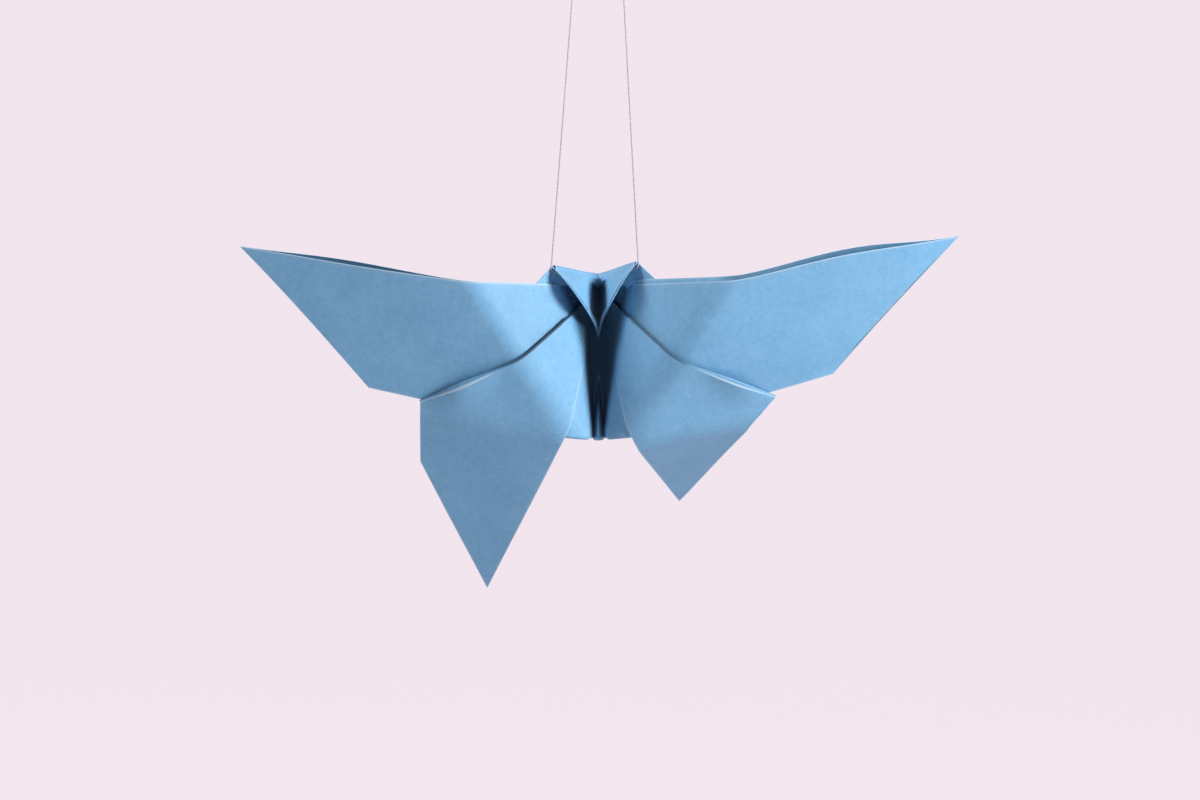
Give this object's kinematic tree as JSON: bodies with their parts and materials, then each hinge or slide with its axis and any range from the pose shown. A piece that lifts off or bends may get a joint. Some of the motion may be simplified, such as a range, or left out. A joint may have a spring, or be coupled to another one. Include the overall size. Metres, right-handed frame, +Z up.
{
  "type": "origami butterfly",
  "caption": "Butterfly folded from one square of blue paper, wings spread, hung by a thread that runs through its head fold.",
  "frame": {"origin": "centre of the knot at the top of the thread's loop, which hangs on a hook", "axes": "+Z up along the hanging thread, +X across the wings to the right hand of a viewer in front, -Y the way the butterfly's front and head face"},
  "size_m": [0.1365, 0.0603, 0.1252],
  "materials": {
    "blue_paper": "matt tinted paper, the same colour on both sides",
    "thread": "fine pale sewing thread"
  },
  "bodies": {
    "root": {"folded_sheet": "blue_paper", "hanging_thread": "thread", "thread_knot": "thread"}
  },
  "joints": []
}
